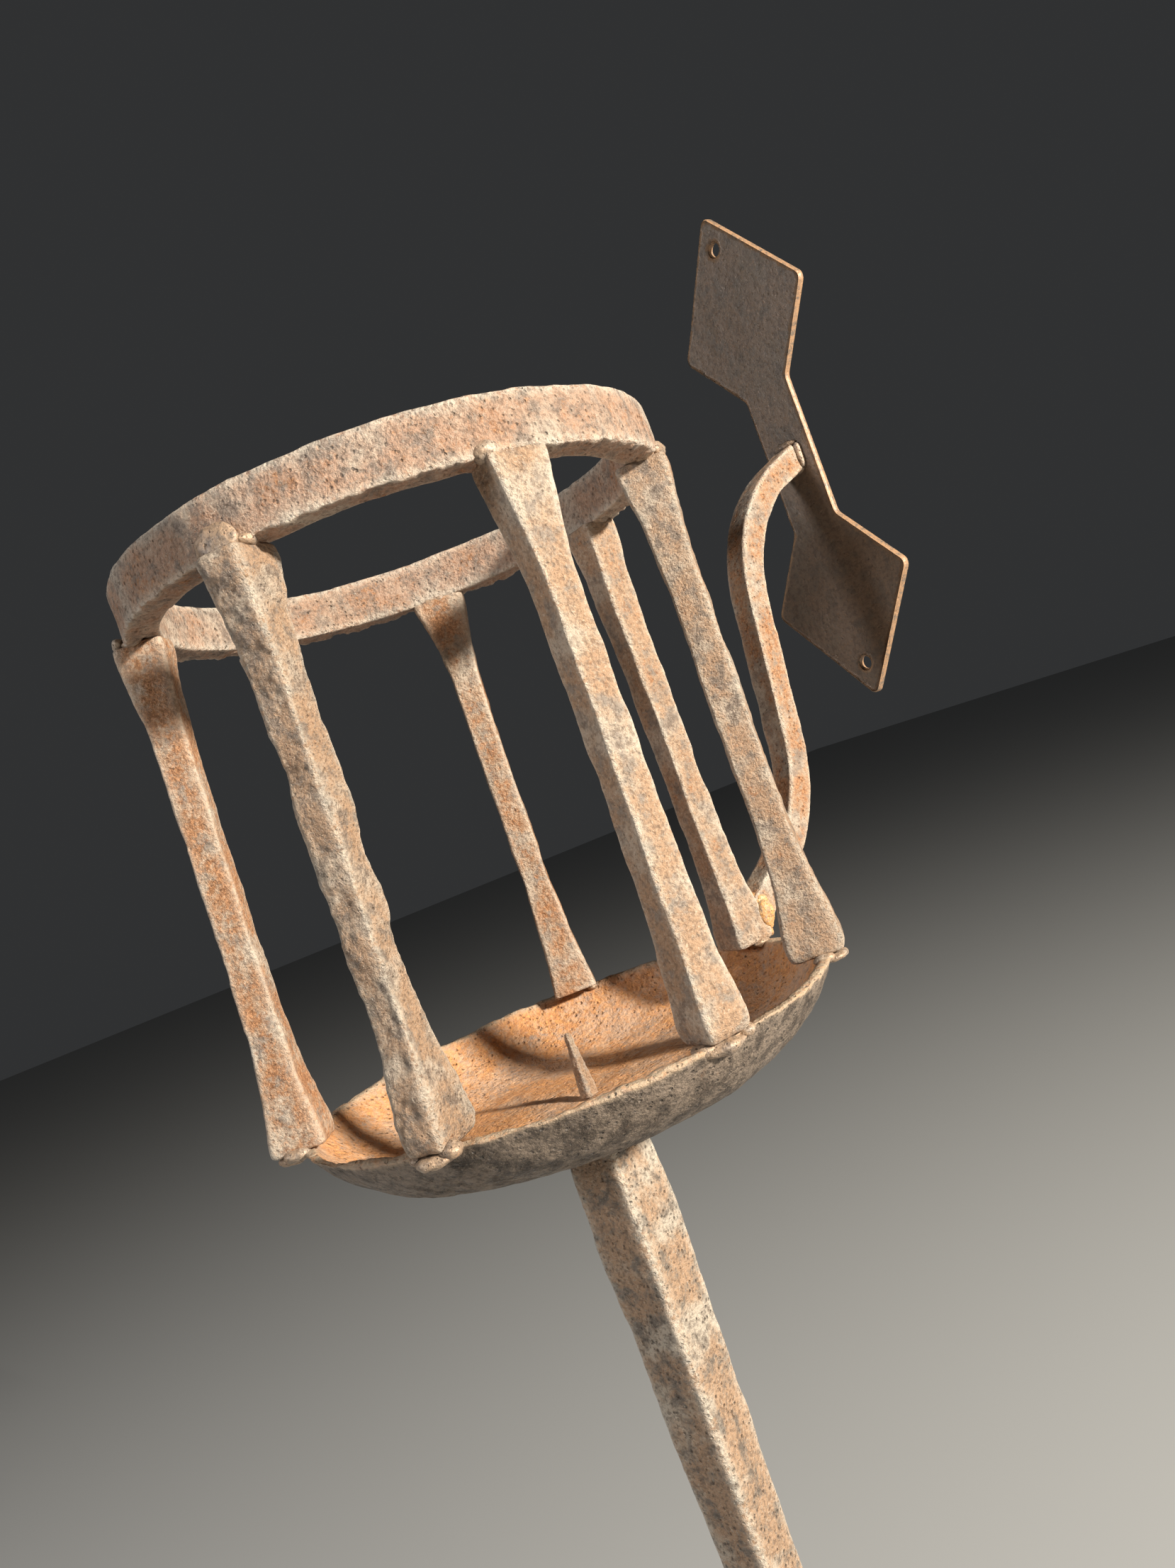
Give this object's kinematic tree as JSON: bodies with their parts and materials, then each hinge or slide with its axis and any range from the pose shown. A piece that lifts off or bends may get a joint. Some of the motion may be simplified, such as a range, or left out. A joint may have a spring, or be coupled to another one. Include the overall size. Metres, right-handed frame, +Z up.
{
  "type": "wrought iron torch wall sconce",
  "caption": "Torch-shaped wrought iron wall sconce: an open barred cage with a ring, a dished drip pan with a candle spike, a tapering square stem and an S arm to a diamond wall plate.",
  "frame": {"origin": "the middle of the wall plate's back face, on the wall", "axes": "+Y points into the wall, +Z is up along the stem and the plate's long axis, and the cage stands out towards -Y"},
  "size_m": [0.1364, 0.2046, 0.5048],
  "materials": {
    "forged_iron": "forged, pitted, with a dry pale rust bloom",
    "rusted_sheet": "orange rust, rough",
    "dark_plate": "dark brown, fine grained, rusted edges",
    "weld_metal": "lumpy, dark, porous"
  },
  "bodies": {
    "root": {"wall_plate": "dark_plate", "wall_arm": "forged_iron", "top_ring": "forged_iron", "drip_pan": "rusted_sheet", "pricket": "rusted_sheet", "stem": "forged_iron", "bar_1": "forged_iron", "bar_2": "forged_iron", "bar_3": "forged_iron", "bar_4": "forged_iron", "bar_5": "forged_iron", "bar_6": "forged_iron", "bar_7": "forged_iron", "foot_weld_1": "weld_metal", "foot_weld_2": "weld_metal", "foot_weld_3": "weld_metal", "foot_weld_4": "weld_metal", "foot_weld_5": "weld_metal", "foot_weld_6": "weld_metal", "foot_weld_7": "weld_metal", "ring_weld_1": "weld_metal", "ring_weld_2": "weld_metal", "ring_weld_3": "weld_metal", "ring_weld_4": "weld_metal", "ring_weld_5": "weld_metal", "ring_weld_6": "weld_metal", "ring_weld_7": "weld_metal", "arm_root_weld": "weld_metal", "arm_plate_weld": "weld_metal", "stem_weld": "weld_metal"}
  },
  "joints": []
}
